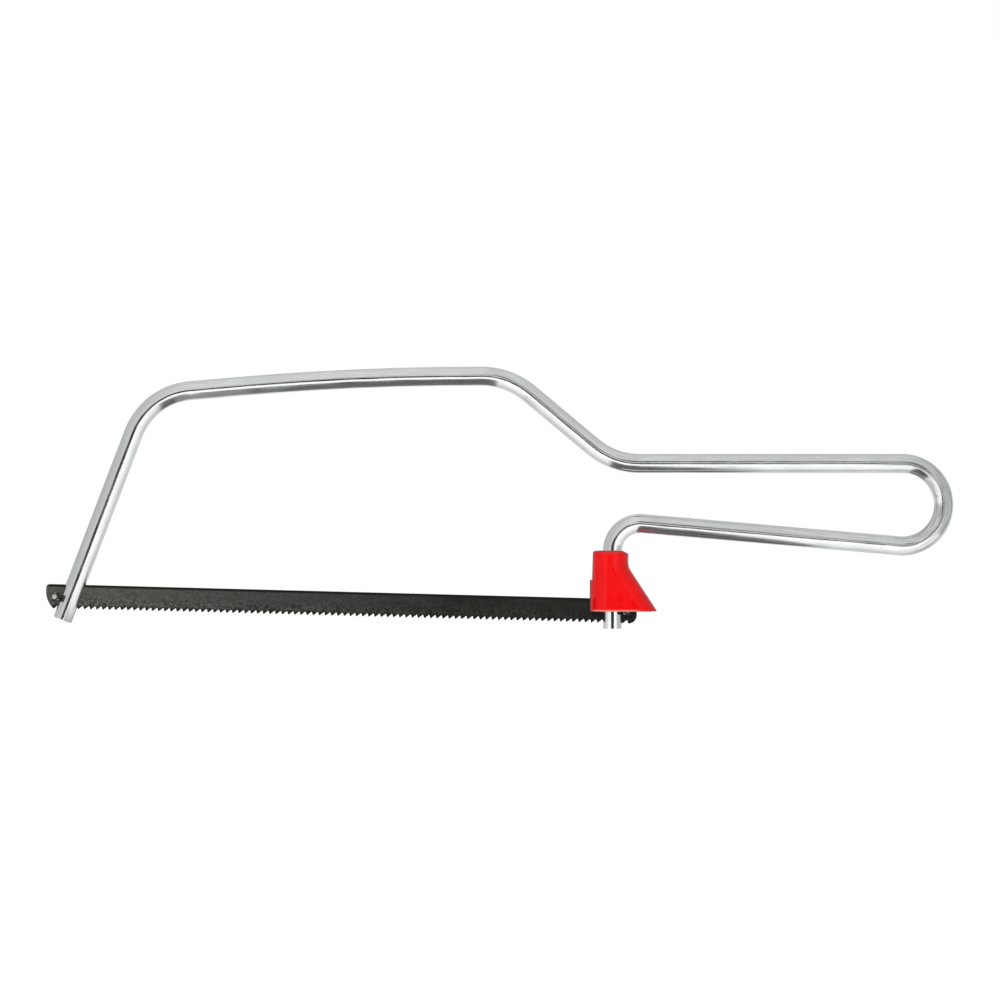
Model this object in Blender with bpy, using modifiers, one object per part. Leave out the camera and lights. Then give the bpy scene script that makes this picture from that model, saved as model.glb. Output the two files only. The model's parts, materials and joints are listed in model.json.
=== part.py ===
"""Mini hacksaw: a bent rod frame, a blade hooked on by two cross pins, and a sleeve on the rear leg.

The frame lies in the XZ plane. The origin is the middle of the grip, inside the handle loop.
+X runs to the handle's closed end and +Z points away from the teeth, along the rear leg.
"""
import math

import bmesh
import bpy
from mathutils import Vector

# Rod of the frame, measured along its centre line, in metres and degrees
ROD_DIAMETER = 0.0050
END_BEND_RADIUS = 0.01084
GRIP_TO_END_BEND = 0.0320
GRIP_ABOVE_END_BEND = 0.0013
HANDLE_TAPER_DEGREES = 4.95
NECK_TO_END_BEND = 0.0760
NECK_RADIUS = 0.0190
NECK_SLOPE_DEGREES = 39.85
NECK_SLOPE_LENGTH = 0.0358
SHOULDER_RADIUS = 0.0194
CROWN_AHEAD_OF_SHOULDER = 0.0399
FRONT_BEND_RADIUS = 0.0175
FRONT_LEG_LEAN_DEGREES = 20.9
FRONT_LEG_RISE = 0.0582
FRONT_LEG_TAIL = 0.0052
REAR_LEG_TO_END_BEND = 0.0762
REAR_BEND_RADIUS = 0.0072
REAR_LEG_STRAIGHT = 0.0205
REAR_LEG_TAIL = 0.0047

# Blade and its two cross pins
PIN_SPACING = 0.1500
PIN_DIAMETER = 0.0020
PIN_LENGTH = 0.0072
PIN_EDGE_RADIUS = 0.0003
BLADE_DIP_DEGREES = 1.5
BLADE_WIDTH = 0.00625
BLADE_THICKNESS = 0.00065
BLADE_TAIL = 0.00265
BLADE_BACK_CORNER_RADIUS = 0.0016
BLADE_EDGE_CORNER_RADIUS = 0.0028
TEETH_START = 0.0045
TOOTH_PITCH = 0.00162
TOOTH_DEPTH = 0.00095
TOOTH_FACE_SHARE = 0.2

# Sleeve on the rear leg
SLEEVE_HEIGHT = 0.0159
SLEEVE_WALL = 0.0008
SLEEVE_TRAVEL = 0.0034
SLEEVE_AHEAD_OF_LEG = 0.0005
SLEEVE_FRONT_DRAFT = 0.0005
SLEEVE_FLARE_DROP = 0.0049
SLEEVE_TOP_CHAMFER = 0.0005
LIP_WIDTH = 0.0060
LIP_DEPTH = 0.00025

# Clearances between the pieces
PIN_SEAT_GAP = 0.00025
PIN_HOLE_CLEARANCE = 0.00005
BLADE_SIDE_CLEARANCE = 0.00015
BLADE_BACK_GAP = 0.0003
SLEEVE_SLOT_GAP = 0.0010
BORE_CLEARANCE = 0.0001
POCKET_CLEARANCE = 0.0003
SLEEVE_BEND_GAP = 0.00015

# Fineness of the round forms
ROD_BEVEL_RESOLUTION = 10
BEND_STEP_DEGREES = 7.5
OVAL_SIDES = 48
BORE_SIDES = 48
PIN_SIDES = 24
CORNER_STEPS = 8
PIN_EDGE_STEPS = 3
SMOOTH_BELOW_DEGREES = 35


def heading(angle):
    """Unit vector in the frame's plane, at an angle from +X toward +Z."""
    return Vector((math.cos(angle), 0, math.sin(angle)))


# Handle loop
rod_radius = ROD_DIAMETER / 2
taper = math.radians(HANDLE_TAPER_DEGREES)
slope = math.radians(NECK_SLOPE_DEGREES)
end_bend_centre = Vector((GRIP_TO_END_BEND, 0, -GRIP_ABOVE_END_BEND))
end_bend_turn = (math.pi + taper) / 2
end_bend_reach = END_BEND_RADIUS / math.cos(end_bend_turn / 2)
end_top_angle = math.pi / 2 - end_bend_turn / 2
end_bottom_angle = end_top_angle - end_bend_turn
end_top = end_bend_centre + end_bend_reach * heading(end_top_angle)
end_bottom = end_bend_centre + end_bend_reach * heading(end_bottom_angle)

# Neck and top bar
neck = Vector((end_bend_centre.x - NECK_TO_END_BEND, 0, end_bend_centre.z + END_BEND_RADIUS))
shoulder = neck + NECK_SLOPE_LENGTH * heading(math.pi - slope)
crown = shoulder - Vector((CROWN_AHEAD_OF_SHOULDER, 0, 0))

# Rear leg, which starts where the lower bar's line crosses it
leg_x = end_bend_centre.x - REAR_LEG_TO_END_BEND
rear_corner = Vector((leg_x, 0, end_bottom.z + (end_bottom.x - leg_x) * math.tan(taper)))
straight_top = rear_corner.z - REAR_BEND_RADIUS * math.tan((math.pi / 2 + taper) / 2)
rear_end = Vector((leg_x, 0, straight_top - REAR_LEG_STRAIGHT))

# Pins, hooked over the outer side of each leg
dip = math.radians(BLADE_DIP_DEGREES)
pin_offset = rod_radius + PIN_SEAT_GAP + PIN_DIAMETER / 2
blade_rearward = heading(-dip)
blade_up = heading(math.pi / 2 - dip)
rear_pin_place = Vector((leg_x + pin_offset, 0, rear_end.z + REAR_LEG_TAIL))
front_pin_place = rear_pin_place - PIN_SPACING * blade_rearward

# Front leg, set so that the front pin bears on it
lean = math.radians(FRONT_LEG_LEAN_DEGREES)
front_leg_up = heading(math.pi / 2 - lean)
front_leg_inward = heading(-lean)
front_foot = front_pin_place + pin_offset * front_leg_inward
front_end = front_foot - FRONT_LEG_TAIL * front_leg_up
front_top = front_foot + FRONT_LEG_RISE * front_leg_up

# Sleeve at the top of its travel, with its own zero at its lower edge on the leg's axis
sleeve_place = Vector((leg_x, 0, straight_top - SLEEVE_BEND_GAP - SLEEVE_HEIGHT))
sleeve_half_width = PIN_LENGTH / 2 + POCKET_CLEARANCE + SLEEVE_WALL
sleeve_front = SLEEVE_AHEAD_OF_LEG + SLEEVE_FRONT_DRAFT + sleeve_half_width
back_over_pin = BLADE_WIDTH / 2 / math.cos(dip) + (pin_offset + sleeve_front) * math.tan(dip)
slot_top = rear_pin_place.z + back_over_pin + SLEEVE_TRAVEL + SLEEVE_SLOT_GAP - sleeve_place.z

# Flare behind the pin, as steep as the lowered sleeve allows around the blade's rear end
flare_start = Vector((sleeve_half_width - SLEEVE_AHEAD_OF_LEG, 0, SLEEVE_HEIGHT - SLEEVE_FLARE_DROP))
blade_corner = rear_pin_place + (BLADE_TAIL - BLADE_BACK_CORNER_RADIUS) * blade_rearward
blade_corner += (BLADE_WIDTH / 2 - BLADE_BACK_CORNER_RADIUS) * blade_up
corner_from_flare = blade_corner - sleeve_place + Vector((0, 0, SLEEVE_TRAVEL)) - flare_start
flare_distance = BLADE_BACK_CORNER_RADIUS + POCKET_CLEARANCE + SLEEVE_WALL
flare_angle = math.atan2(corner_from_flare.x, -corner_from_flare.z)
flare_angle += math.asin(flare_distance / corner_from_flare.length)


def flare_reach(height):
    """Distance from the leg's axis to the flare's outside, at a height above the sleeve's lower edge."""
    return flare_start.x + (flare_start.z - height) * math.tan(flare_angle)


def clear_scene():
    for scene_object in list(bpy.data.objects):
        bpy.data.objects.remove(scene_object, do_unlink=True)


def new_collection(name):
    collection = bpy.data.collections.new(name)
    bpy.context.scene.collection.children.link(collection)
    return collection


def new_material(name, colour, roughness, metallic):
    material = bpy.data.materials.new(name)
    material.use_nodes = True
    shader = material.node_tree.nodes["Principled BSDF"]
    shader.inputs["Base Color"].default_value = (*colour, 1.0)
    shader.inputs["Roughness"].default_value = roughness
    shader.inputs["Metallic"].default_value = metallic
    return material


def new_object(name, data, collection, material=None):
    made = bpy.data.objects.new(name, data)
    collection.objects.link(made)
    if material:
        data.materials.append(material)
    return made


def mesh_from(name, builder):
    """Finish a bmesh as a named mesh, smooth where its faces nearly agree."""
    mesh = bpy.data.meshes.new(name)
    builder.to_mesh(mesh)
    builder.free()
    mesh.shade_smooth()
    mesh.set_sharp_from_angle(angle=math.radians(SMOOTH_BELOW_DEGREES))
    return mesh


def new_cutter(name, mesh, collection):
    cutter = new_object(name, mesh, collection)
    cutter.hide_render = True
    cutter.display_type = "WIRE"
    return cutter


def box_cutter(name, size, collection):
    builder = bmesh.new()
    bmesh.ops.create_cube(builder, size=1.0)
    bmesh.ops.scale(builder, vec=size, verts=builder.verts)
    return new_cutter(name, mesh_from(name, builder), collection)


def add_boolean(target, operand, operation):
    modifier = target.modifiers.new(operand.name, "BOOLEAN")
    modifier.operation = operation
    modifier.object = operand


def bend_points(before, corner, after, radius):
    """Points of the round bend that joins two straight runs at a corner."""
    backward = (before - corner).normalized()
    forward = (after - corner).normalized()
    turn = math.pi - backward.angle(forward)
    tangent = radius * math.tan(turn / 2)
    centre = corner + (backward + forward).normalized() * radius / math.cos(turn / 2)
    start = corner + backward * tangent - centre
    steps = max(2, math.ceil(math.degrees(turn) / BEND_STEP_DEGREES))
    points = []
    for step in range(steps + 1):
        angle = turn * step / steps
        points.append(centre + start * math.cos(angle) - backward * radius * math.sin(angle))
    return points


def crown_radius():
    """Radius of the top bar's gentle bow, which takes all the room between its two neighbours."""
    turn = (crown - front_top).angle(shoulder - crown)
    front_turn = front_leg_up.angle(crown - front_top)
    front_room = (crown - front_top).length - FRONT_BEND_RADIUS * math.tan(front_turn / 2)
    rear_room = CROWN_AHEAD_OF_SHOULDER - SHOULDER_RADIUS * math.tan(slope / 2)
    return (min(front_room, rear_room) - rod_radius / 2) / math.tan(turn / 2)


def rod_points():
    corners = [
        (front_end, 0),
        (front_top, FRONT_BEND_RADIUS),
        (crown, crown_radius()),
        (shoulder, SHOULDER_RADIUS),
        (neck, NECK_RADIUS),
        (end_top, END_BEND_RADIUS),
        (end_bottom, END_BEND_RADIUS),
        (rear_corner, REAR_BEND_RADIUS),
        (rear_end, 0),
    ]
    points = [front_end]
    for (before, _), (corner, radius), (after, _) in zip(corners, corners[1:], corners[2:]):
        points.extend(bend_points(before, corner, after, radius))
    points.append(rear_end)
    return drop_repeats(points)


def drop_repeats(points):
    """Leave out a point that falls on the one before it, where two bends meet."""
    kept = points[:1]
    for point in points[1:]:
        if (point - kept[-1]).length > rod_radius / 100:
            kept.append(point)
    return kept


def make_frame_rod(parts, cutters, material):
    curve = bpy.data.curves.new("frame_rod_path", "CURVE")
    curve.dimensions = "3D"
    curve.bevel_depth = rod_radius
    curve.bevel_resolution = ROD_BEVEL_RESOLUTION
    curve.use_fill_caps = True
    points = rod_points()
    spline = curve.splines.new("POLY")
    spline.points.add(len(points) - 1)
    for spline_point, point in zip(spline.points, points):
        spline_point.co = (*point, 1.0)
    path = new_object("frame_rod_path", curve, cutters)
    evaluated = path.evaluated_get(bpy.context.evaluated_depsgraph_get())
    builder = bmesh.new()
    builder.from_mesh(bpy.data.meshes.new_from_object(evaluated))
    bmesh.ops.remove_doubles(builder, verts=builder.verts, dist=rod_radius / 1000)
    rod = new_object("frame_rod", mesh_from("frame_rod", builder), parts, material)
    rod.matrix_world = path.matrix_world
    bpy.data.objects.remove(path, do_unlink=True)
    front_slot = leg_slot("front_leg_slot", front_end, lean, FRONT_LEG_TAIL, lean - dip, cutters)
    rear_slot = leg_slot("rear_leg_slot", rear_end, 0, REAR_LEG_TAIL, dip, cutters)
    add_boolean(rod, front_slot, "DIFFERENCE")
    add_boolean(rod, rear_slot, "DIFFERENCE")
    return rod


def leg_slot(name, end, leg_lean, tail, blade_angle, cutters):
    """Saw cut in a leg's end, deep enough for the blade's back where it leaves the rod inward."""
    half_blade = BLADE_WIDTH / 2
    across = rod_radius + pin_offset + half_blade * math.sin(blade_angle)
    back = half_blade * math.cos(blade_angle) + across * math.tan(blade_angle)
    depth = tail + back + BLADE_BACK_GAP
    height = depth + rod_radius
    thickness = BLADE_THICKNESS + 2 * BLADE_SIDE_CLEARANCE
    cutter = box_cutter(name, (2 * ROD_DIAMETER, thickness, height), cutters)
    cutter.location = end + heading(math.pi / 2 - leg_lean) * (depth - height / 2)
    cutter.rotation_euler = (0, leg_lean, 0)
    return cutter


def arc_points(centre, radius, start_degrees):
    """Quarter circle, counter-clockwise from the given direction."""
    points = []
    for step in range(CORNER_STEPS + 1):
        angle = math.radians(start_degrees + 90 * step / CORNER_STEPS)
        points.append((centre[0] + radius * math.cos(angle), centre[1] + radius * math.sin(angle)))
    return points


def tooth_points(end):
    """Teeth from front to rear, each steep on its front side, ending in a tip where the edge does."""
    count = math.floor((end - TEETH_START) / TOOTH_PITCH)
    low = -BLADE_WIDTH / 2
    points = []
    for tooth in range(count, 0, -1):
        tip = end - tooth * TOOTH_PITCH
        points.append((tip, low))
        points.append((tip + TOOTH_PITCH * (1 - TOOTH_FACE_SHARE), low + TOOTH_DEPTH))
    return points


def blade_outline():
    """Edge of the blade, counter-clockwise from its front lower corner, with the front pin at zero."""
    front = -BLADE_TAIL
    rear = PIN_SPACING + BLADE_TAIL
    edge = BLADE_EDGE_CORNER_RADIUS
    back = BLADE_BACK_CORNER_RADIUS
    low = edge - BLADE_WIDTH / 2
    high = BLADE_WIDTH / 2 - back
    outline = arc_points((front + edge, low), edge, 180)
    outline += tooth_points(rear - edge)
    outline += arc_points((rear - edge, low), edge, 270)
    outline += arc_points((rear - back, high), back, 0)
    outline += arc_points((front + back, high), back, 90)
    return outline


def pin_hole(x):
    radius = PIN_DIAMETER / 2 + PIN_HOLE_CLEARANCE
    angles = [2 * math.pi * side / PIN_SIDES for side in range(PIN_SIDES)]
    return [(x + radius * math.cos(angle), radius * math.sin(angle)) for angle in angles]


def make_blade(parts, pivot, material):
    curve = bpy.data.curves.new("saw_blade", "CURVE")
    curve.dimensions = "2D"
    curve.fill_mode = "BOTH"
    curve.extrude = BLADE_THICKNESS / 2
    for outline in (blade_outline(), pin_hole(0), pin_hole(PIN_SPACING)):
        spline = curve.splines.new("POLY")
        spline.points.add(len(outline) - 1)
        spline.use_cyclic_u = True
        for spline_point, point in zip(spline.points, outline):
            spline_point.co = (*point, 0.0, 1.0)
    blade = new_object("saw_blade", curve, parts, material)
    blade.parent = pivot
    blade.rotation_euler = (math.pi / 2, 0, 0)
    return blade


def make_pin(name, along_blade, parts, pivot, material):
    builder = bmesh.new()
    radius = PIN_DIAMETER / 2
    bmesh.ops.create_cone(
        builder, cap_ends=True, segments=PIN_SIDES, radius1=radius, radius2=radius, depth=PIN_LENGTH
    )
    pin = new_object(name, mesh_from(name, builder), parts, material)
    pin.parent = pivot
    pin.location = (along_blade, 0, 0)
    pin.rotation_euler = (math.pi / 2, 0, 0)
    bevel = pin.modifiers.new("rounded_ends", "BEVEL")
    bevel.width = PIN_EDGE_RADIUS
    bevel.segments = PIN_EDGE_STEPS
    bevel.limit_method = "ANGLE"
    return pin


def loft(name, rings):
    """Closed solid through rings of equally many points, from the lowest ring to the highest."""
    builder = bmesh.new()
    loops = [[builder.verts.new(point) for point in ring] for ring in rings]
    count = len(rings[0])
    for lower, upper in zip(loops, loops[1:]):
        for side in range(count):
            following = (side + 1) % count
            builder.faces.new((lower[side], lower[following], upper[following], upper[side]))
    builder.faces.new(reversed(loops[0]))
    builder.faces.new(loops[-1])
    return mesh_from(name, builder)


def oval_ring(front_centre, rear_centre, radius, height):
    """Two half circles joined by straight sides, counter-clockwise seen from above."""
    points = []
    for side in range(OVAL_SIDES):
        angle = 2 * math.pi * (side + 0.5) / OVAL_SIDES
        centre = rear_centre if math.cos(angle) > 0 else front_centre
        points.append((centre + radius * math.cos(angle), radius * math.sin(angle), height))
    return points


def pocket_ring(rear_reach, radius, height):
    """Straight front on the leg's axis and a half circle to the rear."""
    points = [(0, radius, height), (0, -radius, height)]
    half = OVAL_SIDES // 2
    for side in range(half + 1):
        angle = math.pi * (side / half - 0.5)
        points.append((rear_reach - radius + radius * math.cos(angle), radius * math.sin(angle), height))
    return points


def sleeve_rings():
    """Round at the top, drawn out to the rear at the bottom, with a little draft on the front."""
    round_centre = -SLEEVE_AHEAD_OF_LEG
    tip_centre = flare_reach(0) - sleeve_half_width
    chamfer_start = SLEEVE_HEIGHT - SLEEVE_TOP_CHAMFER
    rings = []
    for height, rear_centre, inset in (
        (0, tip_centre, 0),
        (flare_start.z, round_centre, 0),
        (chamfer_start, round_centre, 0),
        (SLEEVE_HEIGHT, round_centre, SLEEVE_TOP_CHAMFER),
    ):
        front_centre = round_centre - SLEEVE_FRONT_DRAFT * (1 - height / SLEEVE_HEIGHT)
        rings.append(oval_ring(front_centre, rear_centre, sleeve_half_width - inset, height))
    return rings


def make_sleeve(parts, cutters, material):
    sleeve = new_object("locking_sleeve", loft("locking_sleeve", sleeve_rings()), parts, material)
    sleeve.location = sleeve_place
    add_boolean(sleeve, sleeve_lip(cutters), "UNION")
    for cutter in (sleeve_bore(cutters), sleeve_pocket(cutters), sleeve_slot(cutters)):
        add_boolean(sleeve, cutter, "DIFFERENCE")
    return sleeve


def sleeve_lip(cutters):
    """Flat-faced lip around the blade's way in."""
    height = slot_top + LIP_DEPTH
    depth = LIP_DEPTH + sleeve_half_width / 2
    lip = box_cutter("sleeve_lip", (depth, LIP_WIDTH, height), cutters)
    lip.location = sleeve_place + Vector((depth / 2 - sleeve_front - LIP_DEPTH, 0, height / 2))
    return lip


def sleeve_bore(cutters):
    builder = bmesh.new()
    radius = rod_radius + BORE_CLEARANCE
    bmesh.ops.create_cone(
        builder, cap_ends=True, segments=BORE_SIDES, radius1=radius, radius2=radius, depth=2 * SLEEVE_HEIGHT
    )
    bore = new_cutter("sleeve_bore", mesh_from("sleeve_bore", builder), cutters)
    bore.location = sleeve_place + Vector((0, 0, SLEEVE_HEIGHT / 2))
    return bore


def sleeve_pocket(cutters):
    """Room for the rear pin and the blade's end, open below, with an even wall behind it."""
    radius = PIN_LENGTH / 2 + POCKET_CLEARANCE
    wall = SLEEVE_WALL / math.cos(flare_angle)
    rings = [pocket_ring(flare_reach(height) - wall, radius, height) for height in (-rod_radius, slot_top)]
    pocket = new_cutter("sleeve_pocket", loft("sleeve_pocket", rings), cutters)
    pocket.location = sleeve_place
    return pocket


def sleeve_slot(cutters):
    """Way in for the blade through the front wall, open below."""
    thickness = BLADE_THICKNESS + 2 * POCKET_CLEARANCE
    length = 2 * sleeve_front
    height = slot_top + rod_radius
    slot = box_cutter("sleeve_slot", (length, thickness, height), cutters)
    slot.location = sleeve_place + Vector((-length / 2, 0, slot_top - height / 2))
    return slot


def main():
    clear_scene()
    parts = new_collection("mini_hacksaw")
    cutters = new_collection("mini_hacksaw_cutters")
    chrome = new_material("chrome_plate", (0.80, 0.81, 0.82), 0.12, 1.0)
    black = new_material("blackened_blade_steel", (0.035, 0.035, 0.032), 0.45, 0.6)
    steel = new_material("pin_steel", (0.62, 0.62, 0.60), 0.3, 1.0)
    red = new_material("red_plastic", (0.85, 0.015, 0.018), 0.3, 0.0)
    make_frame_rod(parts, cutters, chrome)
    pivot = new_object("blade_pivot", None, parts)
    pivot.location = front_pin_place
    pivot.rotation_euler = (0, dip, 0)
    make_blade(parts, pivot, black)
    make_pin("front_blade_pin", 0, parts, pivot, steel)
    make_pin("rear_blade_pin", PIN_SPACING, parts, pivot, steel)
    make_sleeve(parts, cutters, red)


main()
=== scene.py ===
# %% [markdown]
# # Dressing a small hacksaw
# The saw's solids already exist: they hold its sizes, its joints and what carries what. This lesson
# gives them their finished surfaces, which are a chromed rod, a black blade, two steel pins and a
# red plastic sleeve. All of it is in metres, in the frame of the solids, so each new piece is
# modelled where its solid is and nothing is fitted afterwards.

# %% Load the solids as a fixed frame
import json
import math

import bmesh
import bpy
import numpy as np
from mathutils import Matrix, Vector


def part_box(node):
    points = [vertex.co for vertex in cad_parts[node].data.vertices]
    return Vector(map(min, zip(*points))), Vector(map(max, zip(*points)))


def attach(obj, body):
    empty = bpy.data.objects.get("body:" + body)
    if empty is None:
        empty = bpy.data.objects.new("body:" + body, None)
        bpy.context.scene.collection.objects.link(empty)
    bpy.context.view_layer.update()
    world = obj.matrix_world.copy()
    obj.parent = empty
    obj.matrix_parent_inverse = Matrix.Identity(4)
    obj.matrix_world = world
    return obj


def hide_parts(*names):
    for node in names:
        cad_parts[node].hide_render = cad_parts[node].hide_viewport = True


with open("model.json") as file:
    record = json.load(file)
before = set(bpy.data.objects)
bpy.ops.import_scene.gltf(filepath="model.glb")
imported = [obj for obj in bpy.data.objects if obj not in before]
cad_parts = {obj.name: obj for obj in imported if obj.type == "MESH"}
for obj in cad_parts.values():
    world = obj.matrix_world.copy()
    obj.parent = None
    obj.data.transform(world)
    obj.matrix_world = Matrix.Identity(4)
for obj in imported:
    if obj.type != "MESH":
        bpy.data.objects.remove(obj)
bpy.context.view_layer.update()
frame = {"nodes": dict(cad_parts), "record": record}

print("solids:", ", ".join(sorted(frame["nodes"])))

# %% [markdown]
# Blender's operators act on whatever is selected, and loading leaves the solids selected. So each
# step first selects one piece alone, and inside edit mode it picks vertices, edges or faces by where
# they are. These few helpers do that, and they apply a modifier as soon as it is set.

# %% Helpers for working by hand
def only(piece):
    """Leave edit mode, then select one piece alone and make it active."""
    if bpy.context.object and bpy.context.object.mode != "OBJECT":
        bpy.ops.object.mode_set(mode="OBJECT")
    bpy.ops.object.select_all(action="DESELECT")
    piece.select_set(True)
    bpy.context.view_layer.objects.active = piece


def settle(piece):
    """Put a piece's place, turn and scale into its mesh."""
    only(piece)
    bpy.ops.object.transform_apply(location=True, rotation=True, scale=True)


def new_piece(name, scale=(1, 1, 1)):
    """Name the primitive that was just added, scale it and settle it."""
    piece = bpy.context.object
    piece.name = name
    piece.data.name = name
    piece.scale = scale
    settle(piece)
    return piece


def edit(piece):
    only(piece)
    bpy.ops.object.mode_set(mode="EDIT")
    bpy.ops.mesh.select_all(action="SELECT")


def middle(element):
    if isinstance(element, bmesh.types.BMVert):
        return element.co
    return sum((vertex.co for vertex in element.verts), Vector()) / len(element.verts)


def pick(kind, wanted):
    """In edit mode, select the VERTs, EDGEs or FACEs whose middle passes a test."""
    bpy.context.tool_settings.mesh_select_mode = [kind == each for each in ("VERT", "EDGE", "FACE")]
    bpy.ops.mesh.select_all(action="DESELECT")
    mesh = bpy.context.object.data
    cage = bmesh.from_edit_mesh(mesh)
    elements = {"VERT": cage.verts, "EDGE": cage.edges, "FACE": cage.faces}[kind]
    for element in elements:
        if wanted(middle(element)):
            element.select_set(True)
    cage.select_flush_mode()
    bmesh.update_edit_mesh(mesh)


def apply_modifier(piece, kind, **settings):
    only(piece)
    modifier = piece.modifiers.new(kind.lower(), kind)
    for setting, value in settings.items():
        setattr(modifier, setting, value)
    bpy.ops.object.modifier_apply(modifier=modifier.name)


def combine(piece, tool, operation):
    """Cut a piece with a tool, or join the tool to it, and put the tool away."""
    apply_modifier(piece, "BOOLEAN", operation=operation, object=tool, solver="EXACT")
    bpy.data.objects.remove(tool, do_unlink=True)


def break_edges(piece, width, segments, sharper_than):
    """Bevel the edges that turn by more than an angle in degrees."""
    angle = math.radians(sharper_than)
    apply_modifier(piece, "BEVEL", width=width, segments=segments, limit_method="ANGLE", angle_limit=angle)


def finish_piece(piece, smooth_degrees):
    """Point the faces outward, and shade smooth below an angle."""
    edit(piece)
    bpy.ops.mesh.normals_make_consistent(inside=False)
    only(piece)
    bpy.ops.object.shade_smooth_by_angle(angle=math.radians(smooth_degrees))
    # Large faces lead in the shading, so that a fine bevel doesn't bend the reflections beside it.
    apply_modifier(piece, "WEIGHTED_NORMAL", mode="FACE_AREA", weight=50, keep_sharp=True)
    triangles = sum(len(face.vertices) - 2 for face in piece.data.polygons)
    print(piece.name, "has", triangles, "triangles")


# %% [markdown]
# ## The camera
# The photograph looks straight at the flat of the saw. Two things fix the framing: the size of one
# of its pixels on the saw, known from the blade's standard length, and the pixel where the middle of
# the grip falls, because that is the origin. A long lens keeps the rod's two ends equally large.

# %% Place the camera
PICTURE_WIDTH = 1000
PIXEL = 0.0002628
GRIP_PIXEL = (780.69, 499.8)
CAMERA_DISTANCE = 0.9
SENSOR_MM = 36
QUARTER_TURN = (math.pi / 2, 0, 0)

aim_x = (PICTURE_WIDTH / 2 - GRIP_PIXEL[0]) * PIXEL
aim_z = (GRIP_PIXEL[1] - PICTURE_WIDTH / 2) * PIXEL
bpy.ops.object.camera_add(location=(aim_x, -CAMERA_DISTANCE, aim_z), rotation=QUARTER_TURN)
camera = bpy.context.object
camera.data.sensor_width = SENSOR_MM
camera.data.lens = SENSOR_MM * CAMERA_DISTANCE / (PICTURE_WIDTH * PIXEL)
bpy.context.scene.camera = camera
bpy.context.scene.view_settings.view_transform = "Standard"
print("lens:", round(camera.data.lens, 1), "mm")

# %% [markdown]
# ## The rod
# One length of round rod makes the whole frame: front leg, top bar, sloping neck, handle loop and
# rear leg. It could be a curve with a round bevel, but here it is made as a bender makes it. A disc is
# extruded along each straight run and spun round each bend, which gives clean rings for the chrome
# to reflect in. First come the corners where the straight runs would meet. The two feet are known
# from the solids' mounts, and the rest are the sizes of the bends.

# %% Corners of the rod
END_BEND_RADIUS = 0.01084
END_BEND_CENTRE = Vector((0.03198, 0, -0.0013))
HANDLE_TAPER_DEGREES = 4.95
NECK_TO_END_BEND = 0.07598
NECK_RADIUS = 0.0190
NECK_SLOPE_DEGREES = 39.85
NECK_SLOPE_LENGTH = 0.0358
SHOULDER_RADIUS = 0.0194
CROWN_AHEAD_OF_SHOULDER = 0.0399
CROWN_RADIUS = 0.730
FRONT_BEND_RADIUS = 0.0175
FRONT_LEG_LENGTH = 0.0634
REAR_BEND_RADIUS = 0.0072


def mount_place(name):
    """Middle of a leg's end, which the mount names a little to one side of the saw cut."""
    mount = next(mount for mount in frame["record"]["mounts"] if mount["name"] == name)
    place = Vector(mount["pos_m"])
    place.y = 0
    return place, Vector(mount["axis"])


def heading(angle):
    return Vector((math.cos(angle), 0, math.sin(angle)))


rod_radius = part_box("frame_rod")[1].y
taper = math.radians(HANDLE_TAPER_DEGREES)
slope = math.radians(NECK_SLOPE_DEGREES)
front_foot, front_foot_down = mount_place("front_leg_foot")
rear_foot, rear_foot_down = mount_place("rear_leg_foot")
end_turn = (math.pi + taper) / 2
end_reach = END_BEND_RADIUS / math.cos(end_turn / 2)
end_top = END_BEND_CENTRE + end_reach * heading((math.pi - end_turn) / 2)
end_bottom = END_BEND_CENTRE + end_reach * heading((math.pi - 3 * end_turn) / 2)
neck = END_BEND_CENTRE + Vector((-NECK_TO_END_BEND, 0, END_BEND_RADIUS))
shoulder = neck + NECK_SLOPE_LENGTH * heading(math.pi - slope)
crown = shoulder - Vector((CROWN_AHEAD_OF_SHOULDER, 0, 0))
front_corner = front_foot - FRONT_LEG_LENGTH * front_foot_down
rear_corner_z = end_bottom.z + (end_bottom.x - rear_foot.x) * math.tan(taper)
rear_corner = Vector((rear_foot.x, 0, rear_corner_z))
rod_corners = [
    (front_foot, 0),
    (front_corner, FRONT_BEND_RADIUS),
    (crown, CROWN_RADIUS),
    (shoulder, SHOULDER_RADIUS),
    (neck, NECK_RADIUS),
    (end_top, END_BEND_RADIUS),
    (end_bottom, END_BEND_RADIUS),
    (rear_corner, REAR_BEND_RADIUS),
    (rear_foot, 0),
]
print("rod corners:", len(rod_corners))

# %% [markdown]
# A bend needs the place where it starts, the centre that it turns about and the angle it turns by. All
# three follow from a corner's two neighbours and its radius. The disc then travels along the route:
# extruded to the start of each bend, spun round its centre, and extruded once more to the last foot.

# %% Extrude the straight runs and spin the bends
ROD_SIDES = 64
BEND_STEP_DEGREES = 2.5
LEAST_BEND_STEPS = 6


def bend_at(before, corner, after, radius):
    """Start, end, centre, turn and axis of the bend that rounds a corner."""
    incoming = (corner - before).normalized()
    outgoing = (after - corner).normalized()
    turn = incoming.angle(outgoing)
    reach = radius * math.tan(turn / 2)
    start = corner - incoming * reach
    toward_centre = (outgoing - incoming).normalized()
    centre = corner + toward_centre * radius / math.cos(turn / 2)
    axis = incoming.cross(outgoing).normalized()
    return {"start": start, "end": corner + outgoing * reach, "centre": centre, "turn": turn, "axis": axis}


bends = []
for (before, _), (corner, radius), (after, _) in zip(rod_corners, rod_corners[1:], rod_corners[2:]):
    bends.append(bend_at(before, corner, after, radius))

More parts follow.
